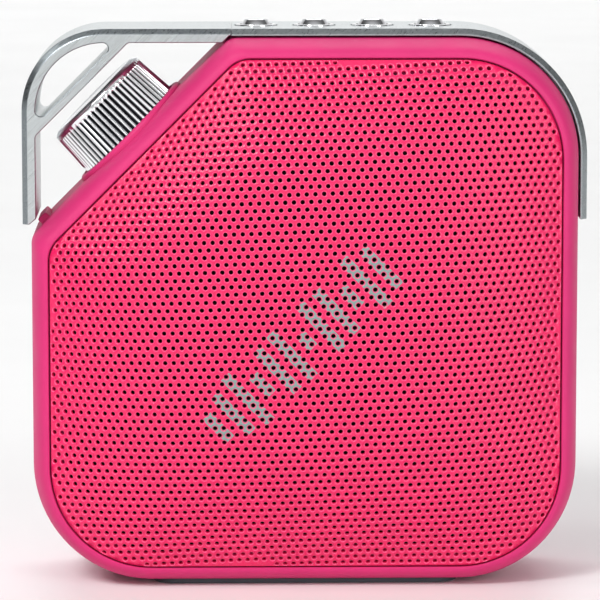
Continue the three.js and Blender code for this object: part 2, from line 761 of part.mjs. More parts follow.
// ---------------------------------------------------------------- sockets, flap and electronics
function usbShape(grow) {
  return rectangle(USB.x, PORT.z, USB.width + 2 * grow, USB.height + 2 * grow, USB.corner);
}

// A cup behind the back wall, with a hole in its floor for each socket.
function socketTray() {
  const bottom = PORT.floor - PORT.wall;
  const past = PORT.floor + GAP;
  return cut(
    plate(portShape(PORT.wall), bottom, BACK_WALL_Y - GAP, SMALL_ARC_STEPS),
    plate(portShape(0), PORT.floor, BACK_Y, SMALL_ARC_STEPS),
    plate(usbShape(GAP), bottom - GAP, past, 2),
    disc(AUX.diameter + 2 * GAP, bottom - GAP, past, 16).translate(AUX.x, 0, PORT.z),
  );
}

function usbSocket() {
  const outside = plate(usbShape(0), BOARD.back + GAP, SOCKET_FRONT, 2);
  return cut(outside, plate(usbShape(-USB.lip), BOARD.back + 1, PORT.floor + 1, 2));
}

function auxSocket() {
  const outside = disc(AUX.diameter, BOARD.back + GAP, SOCKET_FRONT, 16);
  return cut(outside, disc(AUX.bore, BOARD.back + 1, PORT.floor + 1, 16)).translate(AUX.x, 0, PORT.z);
}

function portFlap() {
  return plate(portShape(-GAP), BACK_Y - FLAP.thickness, BACK_Y - FLAP.recess, SMALL_ARC_STEPS);
}

function mainBoard() {
  const middle = (BOARD.front + BOARD.back) / 2;
  return block(BOARD.width, BOARD.back - BOARD.front, BOARD.height, 0, middle, PORT.z);
}

function batteryPack() {
  const shape = rectangle(0, BATTERY.z, BATTERY.width, BATTERY.height, BATTERY.corner);
  return plate(shape, BATTERY.front, BATTERY.back, SMALL_ARC_STEPS);
}

piece("socket_tray", socketTray(), BLACK_PLASTIC);
piece("usb_socket", usbSocket(), STEEL);
piece("aux_socket", auxSocket(), BLACK_PLASTIC);
piece("port_flap", portFlap(), RUBBER);
piece("main_board", mainBoard(), BOARD_GREEN);
piece("battery_pack", batteryPack(), BATTERY_WRAP);

// ---------------------------------------------------------------- case screws
function caseScrew() {
  const [shank, head] = [SCREW.shank / 2, SCREW.head / 2];
  const solid = turned(
    [
      [0, SCREW.tip],
      [shank, SCREW.tip],
      [shank, SCREW.headFrom],
      [head, SCREW.headFrom],
      [head, SCREW.headTo - SCREW.edge],
      [head - SCREW.edge, SCREW.headTo],
      [0, SCREW.headTo],
    ],
    SMALL_ROUND_STEPS,
  );
  const { length, width, depth } = SCREW_RECESS;
  const arm = (turn) => block(length, 2 * depth, width, 0, SCREW.headTo, 0).rotateY(turn);
  return cut(solid, arm(0), arm(Math.PI / 2));
}

CASE_SCREWS.forEach(([x, z], index) => {
  piece(`case_screw_${index + 1}`, caseScrew().translate(x, 0, z), STEEL);
});

export default speaker;
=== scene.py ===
import json
import math

import bmesh
import bpy
import numpy as np
from mathutils import Matrix, Vector
from mathutils.geometry import delaunay_2d_cdt, tessellate_polygon

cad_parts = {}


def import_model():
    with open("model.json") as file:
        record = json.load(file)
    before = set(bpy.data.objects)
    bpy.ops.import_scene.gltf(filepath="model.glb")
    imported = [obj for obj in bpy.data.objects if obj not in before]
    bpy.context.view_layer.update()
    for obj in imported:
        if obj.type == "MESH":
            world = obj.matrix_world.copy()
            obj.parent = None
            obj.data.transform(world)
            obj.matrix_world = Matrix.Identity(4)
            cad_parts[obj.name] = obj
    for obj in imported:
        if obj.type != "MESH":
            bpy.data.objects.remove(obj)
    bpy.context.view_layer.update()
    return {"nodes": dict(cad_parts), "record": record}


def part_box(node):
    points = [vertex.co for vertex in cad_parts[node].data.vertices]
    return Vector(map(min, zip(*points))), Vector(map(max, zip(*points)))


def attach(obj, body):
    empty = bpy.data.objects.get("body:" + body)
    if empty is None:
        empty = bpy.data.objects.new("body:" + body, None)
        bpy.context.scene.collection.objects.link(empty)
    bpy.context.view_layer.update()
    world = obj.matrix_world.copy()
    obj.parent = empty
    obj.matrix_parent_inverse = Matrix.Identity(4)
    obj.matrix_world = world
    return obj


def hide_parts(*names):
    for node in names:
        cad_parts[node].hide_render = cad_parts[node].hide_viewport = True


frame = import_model()

# ---- sizes
MM = 0.001
shell_low, shell_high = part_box("rear_shell")
MIDDLE = Vector((0, 0, (shell_low.z + shell_high.z) / 2))


def local_box(node):
    """A CAD node's lowest and highest corners, in millimetres from the middle of the case."""
    return [(corner - MIDDLE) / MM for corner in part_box(node)]


def centre_of(node):
    """The middle of a CAD node's box, in the same measure."""
    low, high = local_box(node)
    return (low + high) / 2


rear_low, rear_high = local_box("rear_shell")
front_low, front_high = local_box("front_shell")
grille_low, grille_high = local_box("grille")
band_low, band_high = local_box("top_band")
handle_low, handle_high = local_box("handle_frame")
pad_low, pad_high = local_box("base_pad")
flap_low, flap_high = local_box("port_flap")
radiator_low, radiator_high = local_box("radiator_plate")
radiator_centre = centre_of("radiator_plate")
ring_low, ring_high = local_box("button_ring_1")
cap_low, cap_high = local_box("button_power")

# The case: a square with three round corners and one cut corner.
HALF = rear_high.x
CORNER_RADIUS = 21
CUT_DISTANCE = 43.2  # from the middle of the case to the cut corner's flat face
CUT_BLEND = 3  # rounding at the two ends of the cut
LEAST_BLEND = 1  # the same on an outline well inside the case
WALL = 2.2
GAP = 0.3
FIT = 0.05  # between pieces that are pressed together
EDGE = 0.15  # small rounding on moulded edges
OVERRUN = 1  # how far a cutter reaches past what it cuts
LEAST_RADIUS = 0.05  # the tightest rounding that is drawn
FINE_TURN, TURN, SMALL_TURN, TINY_TURN = 96, 64, 48, 32  # points round a turned piece

RIM_Y = front_low.y  # the bezel's front lip
PART_Y = front_high.y  # the joint between the shells
SIDE_Y = -4  # where the bezel has curved out to the full width
BEZEL = 2.9  # width of the bezel's curve
BACK_Y = rear_high.y
BACK_ROUND = {"inward": 6, "deep": 7}
BACK_WALL_Y = BACK_Y - WALL
OPENING = {"inset": 3.15, "blend": 5.5}
BAFFLE = {"front": -10.4, "back": -8.4, "hole": 23.5}

# The perforated grille.
CROWN_Y = grille_low.y
GRILLE_INSET = HALF - grille_high.x
DOME_POWER = 3.3
SKIRT_Y = BAFFLE["front"] - 0.1
HOLE_PITCH = 1.5
HOLE_TURN = math.radians(1.9)  # how far the rows of holes lean
HOLE = {"edge": 0.57, "bore": 0.41, "dish": 0.16, "thickness": 0.7, "sides": 8}  # two radii and two depths
RIM_MARGIN = {"centre": 0.3, "edge": 0.06, "bore": 0.16}  # how near each of these comes to the rim

# How far the middle of the printed motif lies short of the case's, along and across the diagonal.
MOTIF = {"along": 3.3, "across": 2.3}

# The aluminium band and handle.
FRAME_EDGE = band_high.x
BAND_INNER = HALF + GAP
CHAMFER = 0.9
SOFTENING = 0.06  # rounding at both ends of a chamfer
INNER_BEVEL = 0.15
SEAT = {"proud": 0.27, "from_edge": 4.5}  # the pad that the band sits on
JOINT = 0.12  # how far the band and the handle close up on each other
LEAST_LEAN = 0.3  # of a chamfer's normal, towards the front or back
HANDLE = {"radius": 14.5, "width": 2.4, "tip": 1.2, "tip_length": 1.0}
STRUT = {"near": 55.1, "far": 56.55, "fillet": 1.0}
LUG = {"along": -21.3, "width": 2.0, "depth": 10, "corner": 0.4, "top": 44.3, "root": 42.5, "edge": 0.3}
PAD = {"corner": 4, "edge": 0.3}

# Controls. Distances along the knob's axis are from the middle of the case.
CONTROL_Y = centre_of("top_band").y
KNOB = {"base": 10.6, "end": 10.1, "face": 9.1, "foot": 42.3, "top": 52.6, "foot_edge": 0.1}
KNOB_CAVITY = {"radius": 7.5, "roof": 47.2}
KNOB_SHOULDER = {"down": 0.72, "rise": 0.14, "inward": 0.08}
KNOB_FACE = {"edge": 0.06, "border": 0.7, "slope": 0.15, "down": 0.12, "dish": 0.2}
RIBS = {"count": 60, "samples": 8, "depth": 0.5, "start": 0.35, "stop": 51.0, "fade": 0.3}
COLLAR = {"outer": 12.2, "inner": 10.95, "foot": 42.4, "top": 43.95, "edge": 0.7}
SHAFT_HOLE = 3.8
BUTTONS = ("power", "previous", "play", "next")
BUTTON_PLACES = [centre_of(f"button_{name}").x for name in BUTTONS]
BUTTON_STEM = 1.5
CAP_RADIUS = (cap_high.x - cap_low.x) / 2
CAP = {"height": 1.7, "edge": 0.1, "flank": 0.65, "shoulder": 0.12, "rise": 0.14}
CROWN = {"radius": 1.9, "edge": 0.15, "border": 0.3, "dish": 0.08}
RING_RADIUS = (ring_high.x - ring_low.x) / 2
RING = {"bore": 2.9, "edge": 0.25, "soften": (0.07, 0.08), "inner_edge": 0.1}

# The back.
PORT = {"width": 26, "height": 9, "corner": 3}
FLAP_EDGE = 0.35
GRIP = {"from_end": 3, "width": 1.2, "height": 5, "corner": 0.55, "proud": 0.1, "depth": 0.6, "edge": 0.2}
PORT_Z = centre_of("port_flap").z
RADIATOR_HOLE = 21
PLATE_RADIUS = (radiator_high.x - radiator_low.x) / 2
PLATE = {"edge": 0.35, "soften": 0.1, "border": 2.2, "slope": 0.4, "dish": 0.45}
ROLL = {"inner": 13.3, "outer": 20.7, "crest": 17, "swell": 1.8, "squash": 0.9, "y": 17.6, "thickness": 0.5}
SCREW = {"head": 2.6, "well": 2.9, "floor": 18.5, "under": 18.6, "top": 20.0, "edge": 0.3, "soften": 0.06}
SCREW_CROSS = {"reach": 1.4, "half_width": 0.35, "depth": 0.8}
SCREW_NUMBERS = range(1, 6)

# Places, as matrices from a body's own axes to the case's. A turned body's axis is its Y.
SLANT = 1 / math.sqrt(2)
UPRIGHT = Matrix(((1, 0, 0, 0), (0, 0, -1, CONTROL_Y), (0, 1, 0, 0), (0, 0, 0, 1)))
ON_THE_CUT = Matrix(((SLANT, -SLANT, 0, 0), (0, 0, -1, CONTROL_Y), (SLANT, SLANT, 0, 0), (0, 0, 0, 1)))
TO_METRES = Matrix.Translation(MIDDLE) @ Matrix.Scale(MM, 4)


# ---- outlines
def left_of(direction):
    """The direction turned a quarter turn anticlockwise."""
    return Vector((-direction.y, direction.x))


def crossing(a, b):
    """The cross product of two flat vectors."""
    return a.x * b.y - a.y * b.x


def quarter_turn(steps):
    """Evenly spaced angles from 0 to a quarter turn."""
    return [math.pi / 2 * i / steps for i in range(steps + 1)]


def rounded(corners, inset=0.0, steps=24):
    """Points round a closed outline of (x, z, radius) corners, its sides moved to their left by inset.

    inset is one number, or one for each side. steps is the number of points in a quarter turn.
    """
    count = len(corners)
    insets = list(inset) if hasattr(inset, "__len__") else [inset] * count
    sides = []
    for i in range(count):
        here = Vector(corners[i][:2])
        direction = (Vector(corners[(i + 1) % count][:2]) - here).normalized()
        sides.append((here + left_of(direction) * insets[i], direction))
    points = []
    for i, (_, _, radius) in enumerate(corners):
        (start, arriving), (other, leaving) = sides[i - 1], sides[i]
        turn = math.atan2(crossing(arriving, leaving), arriving.dot(leaving))
        corner = start + arriving * (crossing(other - start, leaving) / crossing(arriving, leaving))
        if radius == 0:
            points.append(corner)
            continue
        side = math.copysign(1, turn)
        radius = max(radius - side * (insets[i - 1] + insets[i]) / 2, LEAST_RADIUS)
        centre = corner - arriving * radius * math.tan(abs(turn) / 2) + left_of(arriving) * side * radius
        first = math.atan2(-side * left_of(arriving).y, -side * left_of(arriving).x)
        arcs = max(2, round(steps * abs(turn) / (math.pi / 2)))
        for step in range(arcs + 1):
            angle = first + turn * step / arcs
            points.append(centre + radius * Vector((math.cos(angle), math.sin(angle))))
    return points


def case_outline(inset, cut_radius=None, steps=24):
    """The case's outline moved inwards by inset. cut_radius rounds the two ends of the cut."""
    if cut_radius is None:
        cut_radius = max(CUT_BLEND - inset, LEAST_BLEND)
    cut_sum = CUT_DISTANCE * math.sqrt(2)  # z - x all along the cut
    corners = [
        (HALF, -HALF, CORNER_RADIUS),
        (HALF, HALF, CORNER_RADIUS),
        (HALF - cut_sum, HALF, cut_radius + inset),
        (-HALF, cut_sum - HALF, cut_radius + inset),
        (-HALF, -HALF, CORNER_RADIUS),
    ]
    return rounded(corners, inset, steps)


def rectangle(x, z, width, height, radius):
    """The corners of a rectangle, anticlockwise."""
    w, h = width / 2, height / 2
    return [
        (x - w, z - h, radius),
        (x + w, z - h, radius),
        (x + w, z + h, radius),
        (x - w, z + h, radius),
    ]


def circle(radius, x=0.0, z=0.0, steps=TURN):
    """Points round a circle, anticlockwise."""
    angles = [2 * math.pi * i / steps for i in range(steps)]
    return [(x + radius * math.cos(a), z + radius * math.sin(a)) for a in angles]


# ---- bodies
class Body:
    """The points and faces of one piece, built from closed rings."""

    def __init__(self):
        self.points = []
        self.faces = []

    def ring(self, outline, y):
        """Adds a ring of (x, z) points at depth y and returns the points' numbers."""
        first = len(self.points)
        self.points.extend((x, y, z) for x, z in outline)
        return list(range(first, len(self.points)))

    def rings(self, *levels):
        """Adds a ring for each (outline, y) level."""
        return [self.ring(outline, y) for outline, y in levels]

    def skin(self, *rings):
        """Joins each ring to the next. A ring of one point closes the end."""
        for a, b in zip(rings, rings[1:]):
            count = max(len(a), len(b))
            for i in range(count):
                j = (i + 1) % count
                if len(a) == 1:
                    self.faces.append((a[0], b[i], b[j]))
                elif len(b) == 1:
                    self.faces.append((a[i], a[j], b[0]))
                else:
                    self.faces.append((a[i], a[j], b[j], b[i]))

    def fill(self, outer, *holes):
        """A flat face inside the outer ring, clear of the holes."""
        if not holes:
            self.faces.append(tuple(outer))
            return
        loops = [[Vector(self.points[i]) for i in ring] for ring in (outer, *holes)]
        numbers = [i for ring in (outer, *holes) for i in ring]
        for triangle in tessellate_polygon(loops):
            self.faces.append(tuple(numbers[i] for i in triangle))

    def add(self, other, place=Matrix.Identity(4)):
        """Joins a separate body to this one."""
        first = len(self.points)
        self.points.extend(place @ Vector(point) for point in other.points)
        self.faces.extend(tuple(first + i for i in face) for face in other.faces)

    def mesh(self, name, place=Matrix.Identity(4)):
        """The body as a closed mesh in metres, with its faces turned outwards."""
        mesh = bpy.data.meshes.new(name)
        mesh.from_pydata([tuple(p) for p in self.points], [], self.faces)
        work = bmesh.new()
        work.from_mesh(mesh)
        bmesh.ops.recalc_face_normals(work, faces=work.faces)
        work.to_mesh(mesh)
        work.free()
        mesh.transform(TO_METRES @ place)
        return mesh

    def make(self, name, slot, body="case", replaces=(), place=Matrix.Identity(4), sharp=35, cutter=None):
        """Makes the Blender object, less the cutter's shape, and finishes it as a piece."""
        mesh = self.mesh(name, place)
        if cutter:
            mesh = cut(mesh, cutter.mesh("cutter"))
        return finish_piece(name, mesh, slot, body, replaces, sharp)


def cut(mesh, cutter_mesh):
    """The mesh with the cutter's shape taken out of it."""
    items = [bpy.data.objects.new("work", item) for item in (mesh, cutter_mesh)]
    for item in items:
        bpy.context.scene.collection.objects.link(item)
    step = items[0].modifiers.new("cut", "BOOLEAN")
    step.object = items[1]
    step.solver = "EXACT"
    evaluated = items[0].evaluated_get(bpy.context.evaluated_depsgraph_get())
    result = bpy.data.meshes.new_from_object(evaluated)
    for item in items:
        bpy.data.objects.remove(item)
    return result


def finish_piece(name, mesh, slot, body, replaces, sharp):
    """Makes the mesh an object with its shading and material, hides the CAD nodes it replaces and hangs it
    under its body's empty.
    """
    mesh.shade_smooth()
    mesh.set_sharp_from_angle(angle=math.radians(sharp))
    mesh.materials.clear()
    mesh.materials.append(LOOKS[slot])
    piece = bpy.data.objects.new(name, mesh)
    bpy.context.scene.collection.objects.link(piece)
    weights = piece.modifiers.new("even_shading", "WEIGHTED_NORMAL")
    weights.keep_sharp = True
    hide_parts(*replaces)
    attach(piece, body)
    return piece


def mark_chamfers(piece, squarest, amount):
    """Marks the faces that lean towards the front or back, for the painted dark reflection in the frame's
    look.

    Faces that lean by more than squarest aren't chamfers.
    """
    marks = piece.data.attributes.new("chamfer", "FLOAT", "FACE")
    leans = [abs(face.normal.y) for face in piece.data.polygons]
    values = [amount if LEAST_LEAN < lean <= squarest else 0.0 for lean in leans]
    marks.data.foreach_set("value", values)


def turned(profile, steps, closed=False):
    """A body turned about its Y axis from (radius, y) points. A closed profile makes a ring."""
    body = Body()
    rings = []
    for radius, y in profile:
        outline = circle(radius, steps=steps) if radius > 0 else [(0, 0)]
        rings.append(body.ring(outline, y))
    body.skin(*rings)
    if closed:
        body.skin(rings[-1], rings[0])
    return body


def rod(radius, y_from, y_to, steps):
    """A solid cylinder along Y."""
    return turned([(0, y_from), (radius, y_from), (radius, y_to), (0, y_to)], steps)


def at_button(x):
    """The place of a body turned about a button's axis."""
    return Matrix.Translation((x, 0, 0)) @ UPRIGHT


def slab(corners, layers):
    """A body with the same corners at each (y, inset) layer, and a filled face at both ends."""
    body = Body()
    rings = [body.ring(rounded(corners, inset), y) for y, inset in layers]
    body.skin(*rings)
    body.fill(rings[0])
    body.fill(rings[-1])
    return body


def soft_layers(y_from, y_to, radius, steps=4):
    """(y, inset) layers of a slab whose two ends are rounded off."""
    turns = reversed(quarter_turn(steps))
    front = [(y_from + radius * (1 - math.sin(t)), radius * (1 - math.cos(t))) for t in turns]
    back = [(y_to - (y - y_from), inset) for y, inset in reversed(front)]
    return front + back


# ---- materials
def tone(red, green, blue):
    """A colour given as it shows on a screen, 0 to 255, as linear light."""
    return tuple(((c / 255 + 0.055) / 1.055) ** 2.4 if c > 10 else c / 3295 for c in (red, green, blue))


class Nodes:
    """A node tree under construction."""

    def __init__(self, tree):
        self.tree = tree

    def add(self, kind, **settings):
        node = self.tree.nodes.new(kind)
        for name, value in settings.items():
            setattr(node, name, value)
        return node

    def join(self, output, entry):
        self.tree.links.new(output, entry)

    def combine(self, operation, first, second=0.0, third=0.0):
        """A Math node over outputs or plain numbers."""
        node = self.add("ShaderNodeMath", operation=operation)
        for entry, value in zip(node.inputs, (first, second, third)):
            if isinstance(value, bpy.types.NodeSocket):
                self.join(value, entry)
            else:
                entry.default_value = value
        return node.outputs[0]

    def spread(self, value, low, high, low_out, high_out, interpolation="LINEAR"):
        """Value moved from the range low to high into the range low_out to high_out."""
        node = self.add("ShaderNodeMapRange", interpolation_type=interpolation)
        for entry, number in zip(node.inputs[1:5], (low, high, low_out, high_out)):
            entry.default_value = number
        self.join(value, node.inputs[0])
        return node.outputs[0]


class Look(Nodes):
    """A Principled material under construction. Sizes are in millimetres on the object."""

    def __init__(self, slot, color, roughness, metallic=0.0):
        self.slot = slot
        self.material = bpy.data.materials.new(slot)
        self.material.use_nodes = True
        super().__init__(self.material.node_tree)
        self.shader = self.tree.nodes["Principled BSDF"]
        self.place = self.add("ShaderNodeTexCoord").outputs["Object"]
        self.color = (*color, 1)
        self.shader.inputs["Base Color"].default_value = self.color
        self.shader.inputs["Roughness"].default_value = roughness
        self.shader.inputs["Metallic"].default_value = metallic
        self.roughness = roughness

    def frame(self, turn=(0, 0, 0), stretch=(1, 1, 1)):
        """The object's coordinates in millimetres, turned and then stretched."""
        turned_place = self.add("ShaderNodeMapping")
        turned_place.inputs["Rotation"].default_value = turn
        self.join(self.place, turned_place.inputs["Vector"])
        scaled = self.add("ShaderNodeMapping")
        scaled.inputs["Scale"].default_value = [1 / (MM * s) for s in stretch]
        self.join(turned_place.outputs[0], scaled.inputs["Vector"])
        return scaled.outputs[0]

    def noise(self, size, detail=2.0, turn=(0, 0, 0), stretch=(1, 1, 1)):
        """Noise with features of about size millimetres."""
        node = self.add("ShaderNodeTexNoise")
        node.inputs["Scale"].default_value = 1
        node.inputs["Detail"].default_value = detail
        self.join(self.frame(turn, [size * s for s in stretch]), node.inputs["Vector"])
        return node.outputs["Fac"]

    def tint(self, share, color):
        """Mixes color over the base colour by share, an output from 0 to 1."""
        mix = self.add("ShaderNodeMix", data_type="RGBA")
        entry = self.shader.inputs["Base Color"]
        if entry.is_linked:
            self.join(entry.links[0].from_socket, mix.inputs["A"])
        else:
            mix.inputs["A"].default_value = self.color
        mix.inputs["B"].default_value = (*color, 1)
        self.join(share, mix.inputs["Factor"])
        self.join(mix.outputs["Result"], entry)

    def shade(self, value, amount):
        """Darkens the base colour by up to amount where value is low."""
        dark = tuple(c * (1 - amount) for c in self.color[:3])
        self.tint(self.spread(value, 0.35, 0.65, 1, 0), dark)

    def wear(self, value, amount):
        """Varies the roughness by amount either way."""
        rough = self.spread(value, 0.3, 0.7, self.roughness - amount, self.roughness + amount)
        self.join(rough, self.shader.inputs["Roughness"])

    def relief(self, value, depth):
        """Raises the surface by up to depth millimetres where value is high."""
        bump = self.add("ShaderNodeBump")
        bump.inputs["Strength"].default_value = 1
        bump.inputs["Distance"].default_value = depth * MM
        self.join(value, bump.inputs["Height"])
        entry = self.shader.inputs["Normal"]
        if entry.is_linked:
            self.join(entry.links[0].from_socket, bump.inputs["Normal"])
        self.join(bump.outputs["Normal"], entry)

    def set(self, **values):
        """Sets constants on the shader by socket name, with underscores for spaces."""
        for name, value in values.items():
            self.shader.inputs[name.replace("_", " ")].default_value = value


def moulded(slot, color, roughness, grain=0.35, depth=0.004, blotch=9.0, amount=0.1):
    """Moulded plastic or rubber: a fine grain, faint blotches and uneven gloss."""
    look = Look(slot, color, roughness)
    look.shade(look.noise(blotch, 3), amount)
    look.wear(look.noise(blotch / 2, 4), 0.05)
    look.relief(look.noise(grain, 2), depth)
    return look


def brushed(slot, color, roughness, turn=(0, 0, 0), streak=6.0, line=0.14, amount=0.35):
    """Metal with fine parallel lines, which run along the turned X axis."""
    look = Look(slot, color, roughness, 1)
    lines = look.noise(1, 4, turn, (streak, line * 4, line))
    look.shade(lines, amount)
    look.wear(lines, 0.1)
    look.relief(lines, 0.006)
    return look


def pink_shell():
    """The case's matt pink plastic."""
    look = moulded("pink_shell", tone(209, 47, 113), 0.52, grain=0.22, depth=0.003, amount=0.06)
    look.set(Specular_IOR_Level=0.25)
    return look


def in_motif(look):
    """1 inside a printed row of level bars that runs up the grille's diagonal, and 0 elsewhere."""
    pitch, share, bars, low, swell, wave_step = 3.6, 0.55, 12, 1.6, 4.2, 1.1
    combine = look.combine
    place = look.add("ShaderNodeSeparateXYZ")
    look.join(look.frame(), place.inputs[0])
    x, z = place.outputs["X"], place.outputs["Z"]
    up = combine("SUBTRACT", z, MIDDLE.z / MM)
    along = combine("MULTIPLY", combine("ADD", x, up), SLANT)
    across = combine("MULTIPLY", combine("SUBTRACT", up, x), SLANT)
    step = combine("DIVIDE", combine("ADD", along, MOTIF["along"]), pitch)
    number = combine("FLOOR", step)
    in_bar = combine("LESS_THAN", combine("FRACT", step), share)
    wave = combine("ABSOLUTE", combine("SINE", combine("MULTIPLY", number, wave_step)))
    height = combine("MULTIPLY_ADD", wave, swell, low)
    off_centre = combine("ABSOLUTE", combine("ADD", across, MOTIF["across"]))
    in_height = combine("LESS_THAN", off_centre, height)
    from_middle = combine("ABSOLUTE", combine("ADD", number, 0.5))
    in_length = combine("LESS_THAN", from_middle, bars / 2)
    return combine("MULTIPLY", combine("MULTIPLY", in_bar, in_height), in_length)


def grille_metal():
    """Painted sheet with the printed motif. The dished edges of the holes are tinted a paler pink, a
    painted highlight.
    """
    look = Look("grille_metal", tone(228, 32, 94), 0.27)
    look.shade(look.noise(7, 3), 0.06)
    look.wear(look.noise(1.5, 3), 0.06)
    look.relief(look.noise(0.3, 2), 0.004)
    look.tint(in_motif(look), tone(130, 150, 147))
    # Painted highlight: the sloping faces round each hole get a paler pink, standing in for the light they
    # catch.
    dish = look.add("ShaderNodeAttribute", attribute_name="dish").outputs["Fac"]
    look.tint(dish, tone(238, 78, 128))
    look.set(Specular_IOR_Level=0.4)
    return look


def aluminium_frame():
    """Brushed faces, with painted dark reflections on the chamfers."""
    slant = (0, math.radians(45), 0)
    look = brushed("aluminium_frame", (0.68, 0.72, 0.73), 0.34, slant, amount=0.25)
    look.shade(look.noise(0.22, 3), 0.15)
    # Painted reflection: the chamfer faces are tinted dark, flecked by noise, for the dark surroundings
    # they mirror.
    chamfer = look.add("ShaderNodeAttribute", attribute_name="chamfer").outputs["Fac"]
    fleck = look.spread(look.noise(0.3, 4), 0.3, 0.75, 1, 0.6)
    look.tint(look.combine("MULTIPLY", chamfer, fleck), (0.25, 0.28, 0.3))
    return look


def chrome(slot):
    """Bright chrome plate with faint smudges."""
    look = Look(slot, (0.86, 0.87, 0.89), 0.07, 1)
    look.wear(look.noise(3, 4), 0.03)
    look.relief(look.noise(0.12, 2), 0.0006)
    return look


def knob_chrome():
    """Chrome with painted shade in the grooves between the ribs, where the base colour goes nearly black.
    """
    look = chrome("knob_chrome")
    groove = look.add("ShaderNodeAttribute", attribute_name="groove").outputs["Fac"]
    # Painted shade: the base colour darkens to nearly black in the grooves.
    look.tint(look.spread(groove, 0.35, 0.8, 0, 1), (0.012, 0.012, 0.016))
    return look


def woven(slot, color, thread):
    """Plain weave, from two sets of crossed waves."""
    look = Look(slot, color, 0.9)
    across = look.add("ShaderNodeTexWave", bands_direction="X")
    down = look.add("ShaderNodeTexWave", bands_direction="Z")
    for wave in (across, down):
        wave.inputs["Scale"].default_value = 0.3
        look.join(look.frame(stretch=(thread, thread, thread)), wave.inputs["Vector"])
    weave = look.combine("MULTIPLY", across.outputs["Fac"], down.outputs["Fac"])
    look.shade(weave, 0.4)
    look.relief(weave, 0.05)
    look.set(Sheen_Weight=0.2)
    return look


def wound():
    """Turns of copper wire round the coil."""
    look = Look("copper", (0.62, 0.27, 0.12), 0.3, 1)
    turns = look.add("ShaderNodeTexWave", bands_direction="Y")
    turns.inputs["Scale"].default_value = 1
    look.join(look.frame(), turns.inputs["Vector"])
    look.shade(turns.outputs["Fac"], 0.5)
    look.relief(turns.outputs["Fac"], 0.1)
    return look


def circuit_board():
    """Green board with raised tracks."""
    look = Look("board", tone(24, 92, 58), 0.35)
    tracks = look.add("ShaderNodeTexVoronoi", distance="MANHATTAN")
    tracks.inputs["Scale"].default_value = 0.6
    look.join(look.frame(), tracks.inputs["Vector"])
    look.shade(tracks.outputs["Distance"], 0.3)
    look.wear(look.noise(2), 0.05)
    look.relief(tracks.outputs["Distance"], 0.03)
    return look


LOOKS = {
    look.slot: look.material
    for look in (
        pink_shell(),
        grille_metal(),
        aluminium_frame(),
        knob_chrome(),
        chrome("button_chrome"),
        moulded("pad_rubber", tone(74, 84, 90), 0.75, grain=0.3, depth=0.02, amount=0.2),
        moulded("black_rubber", tone(26, 26, 28), 0.65, grain=0.25, depth=0.015, amount=0.2),
        moulded("black_plastic", tone(30, 32, 35), 0.5, grain=0.4, depth=0.01, amount=0.2),
        moulded("ferrite", tone(50, 51, 54), 0.7, grain=0.15, depth=0.02, amount=0.3),
        brushed("steel", (0.42, 0.43, 0.45), 0.32, streak=3.0, line=0.12),
        woven("cloth", tone(26, 6, 14), 0.35),
        moulded("cone_paper", tone(44, 44, 47), 0.85, grain=0.5, depth=0.04, amount=0.25),
        wound(),
        circuit_board(),
        moulded("battery_wrap", tone(40, 90, 160), 0.3, grain=2.0, depth=0.02, amount=0.1),
    )
}
for part in frame["record"]["subparts"]:
    node = frame["nodes"][part["node"]]
    node.data.materials.clear()
    node.data.materials.append(LOOKS[part["material_slot"]])


# ---- case
def control_holes():
    """What the knob, its collar and the buttons' stems need cut out of the case."""
    holes = Body()
    pocket = (COLLAR["outer"] + FIT, COLLAR["foot"] - GAP, COLLAR["top"] + OVERRUN)
    shaft_hole = (SHAFT_HOLE, CUT_DISTANCE - WALL - OVERRUN, COLLAR["foot"])
    stem_hole = (BUTTON_STEM + GAP, HALF - WALL - OVERRUN, HALF + OVERRUN)
    holes.add(rod(*pocket, FINE_TURN), ON_THE_CUT)
    holes.add(rod(*shaft_hole, TURN), ON_THE_CUT)
    for x in BUTTON_PLACES:
        holes.add(rod(*stem_hole, TINY_TURN), at_button(x))
    return holes


def front_case():
    """The bezel, its opening, and the baffle with the loudspeaker's hole."""
    body = Body()
    curve = []
    for angle in quarter_turn(12):
        inset = BEZEL * (1 - math.sin(angle))
        blend = OPENING["blend"] * (1 - math.sin(angle)) + CUT_BLEND * math.sin(angle)
        y = SIDE_Y - (SIDE_Y - RIM_Y) * math.cos(angle)
        curve.append(body.ring(case_outline(inset, blend), y))
    outer = body.rings((case_outline(0), PART_Y - EDGE), (case_outline(EDGE), PART_Y))
    inside, hole_edge = case_outline(WALL), circle(BAFFLE["hole"])
    inner = body.rings((inside, PART_Y), (inside, BAFFLE["back"]))
    hole = body.rings((hole_edge, BAFFLE["back"]), (hole_edge, BAFFLE["front"]))
    inset, blend = OPENING["inset"], OPENING["blend"]
    opening = body.rings(
        (case_outline(inset, blend), BAFFLE["front"]),
        (case_outline(inset, blend), RIM_Y + EDGE),
        (case_outline(inset - EDGE, blend), RIM_Y),
    )
    body.skin(*curve, *outer, *inner)
    body.fill(inner[-1], hole[0])
    body.skin(*hole)
    body.fill(opening[0], hole[1])
    body.skin(*opening, curve[0])
    body.make("front_case", "pink_shell", replaces=["front_shell"], cutter=control_holes())


def sized_rings(body, outline_at, *levels):
    """Rings of one outline at several sizes, one for each (size, y) level."""
    return body.rings(*((outline_at(size), y) for size, y in levels))


